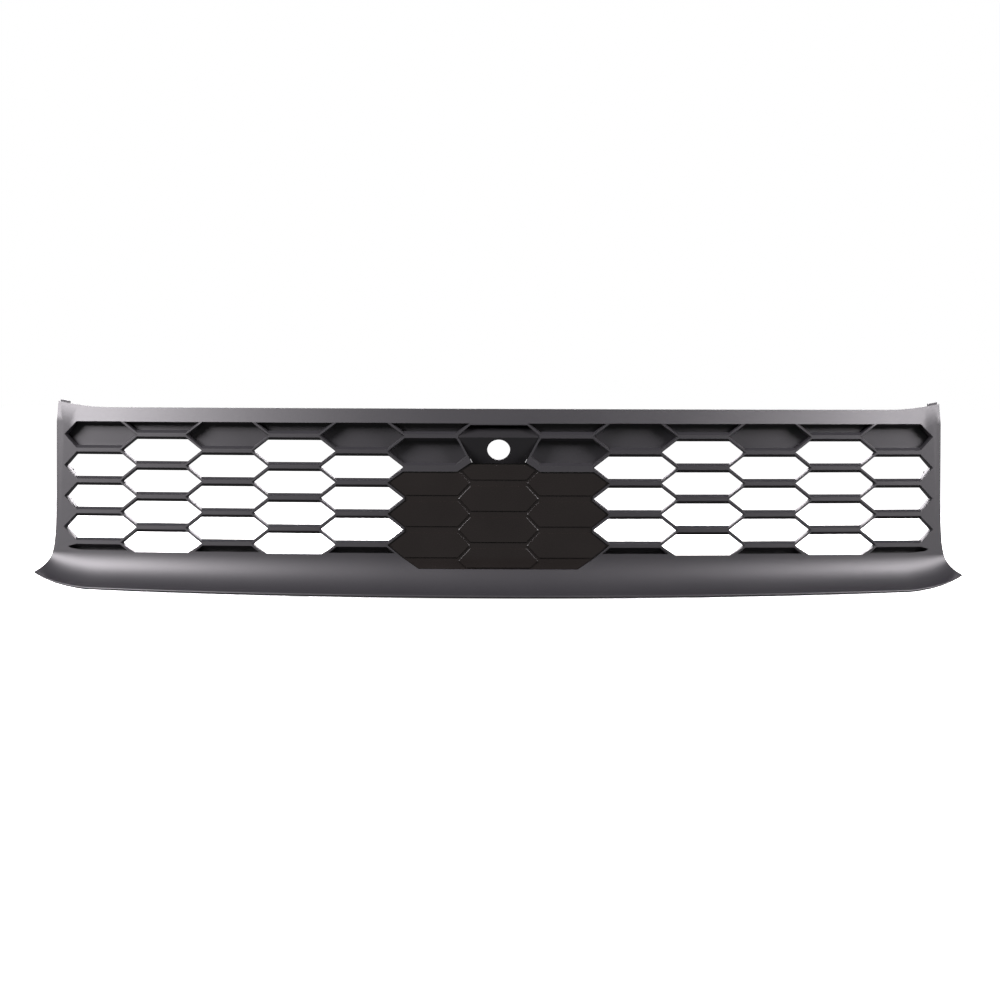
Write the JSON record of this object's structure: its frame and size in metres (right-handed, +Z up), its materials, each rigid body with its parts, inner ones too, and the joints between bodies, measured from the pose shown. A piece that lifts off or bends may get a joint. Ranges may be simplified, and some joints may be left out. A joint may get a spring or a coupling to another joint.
{
  "type": "front grille",
  "caption": "Curved car front grille: moulded surround with long hexagon cells, gloss radar cover, tilted camera bezel, screws, clips and push-in retainers with sliding pins.",
  "frame": {"origin": "on the flat top face of the top flange, on the middle line, 16 mm behind the front of the honeycomb", "axes": "+X to the right of someone who looks at the front, +Y to the rear of the grille, +Z up"},
  "size_m": [1.0678, 0.146, 0.2245],
  "materials": {
    "satin_plastic": "satin anthracite, very fine moulded grain",
    "gloss_black": "polished black",
    "bezel_plastic": "satin black",
    "zinc_steel": "zinc plated",
    "spring_steel": "phosphated spring steel",
    "nylon": "moulded black nylon",
    "foam": "closed-cell foam"
  },
  "bodies": {
    "grille": {"grille_moulding": "satin_plastic", "radar_cover": "gloss_black", "camera_bezel": "bezel_plastic", "camera_bracket": "bezel_plastic", "radar_cover_screw_1": "zinc_steel", "radar_cover_screw_2": "zinc_steel", "radar_cover_screw_3": "zinc_steel", "radar_cover_screw_4": "zinc_steel", "radar_cover_screw_5": "zinc_steel", "radar_cover_screw_6": "zinc_steel", "radar_cover_screw_7": "zinc_steel", "radar_cover_screw_8": "zinc_steel", "camera_screw_left": "zinc_steel", "camera_screw_right": "zinc_steel", "top_retainer_body_1": "nylon", "top_retainer_body_2": "nylon", "top_retainer_body_3": "nylon", "top_retainer_body_4": "nylon", "top_retainer_body_5": "nylon", "top_retainer_body_6": "nylon", "lower_clip_1": "spring_steel", "lower_clip_2": "spring_steel", "lower_clip_3": "spring_steel", "lower_clip_4": "spring_steel", "lower_clip_5": "spring_steel", "lower_clip_6": "spring_steel", "side_nut_left": "spring_steel", "side_nut_right": "spring_steel", "air_seal_left": "foam", "air_seal_right": "foam"},
    "retainer_pin_1": {"top_retainer_pin_1": "nylon"},
    "retainer_pin_2": {"top_retainer_pin_2": "nylon"},
    "retainer_pin_3": {"top_retainer_pin_3": "nylon"},
    "retainer_pin_4": {"top_retainer_pin_4": "nylon"},
    "retainer_pin_5": {"top_retainer_pin_5": "nylon"},
    "retainer_pin_6": {"top_retainer_pin_6": "nylon"}
  },
  "joints": [
    {"name": "pin_1_pull", "type": "slide", "parent": "grille", "child": "retainer_pin_1", "axis": [0, 0, 1], "range_m": [0, 0.006]},
    {"name": "pin_2_pull", "type": "slide", "parent": "grille", "child": "retainer_pin_2", "axis": [0, 0, 1], "range_m": [0, 0.006]},
    {"name": "pin_3_pull", "type": "slide", "parent": "grille", "child": "retainer_pin_3", "axis": [0, 0, 1], "range_m": [0, 0.006]},
    {"name": "pin_4_pull", "type": "slide", "parent": "grille", "child": "retainer_pin_4", "axis": [0, 0, 1], "range_m": [0, 0.006]},
    {"name": "pin_5_pull", "type": "slide", "parent": "grille", "child": "retainer_pin_5", "axis": [0, 0, 1], "range_m": [0, 0.006]},
    {"name": "pin_6_pull", "type": "slide", "parent": "grille", "child": "retainer_pin_6", "axis": [0, 0, 1], "range_m": [0, 0.006]}
  ]
}
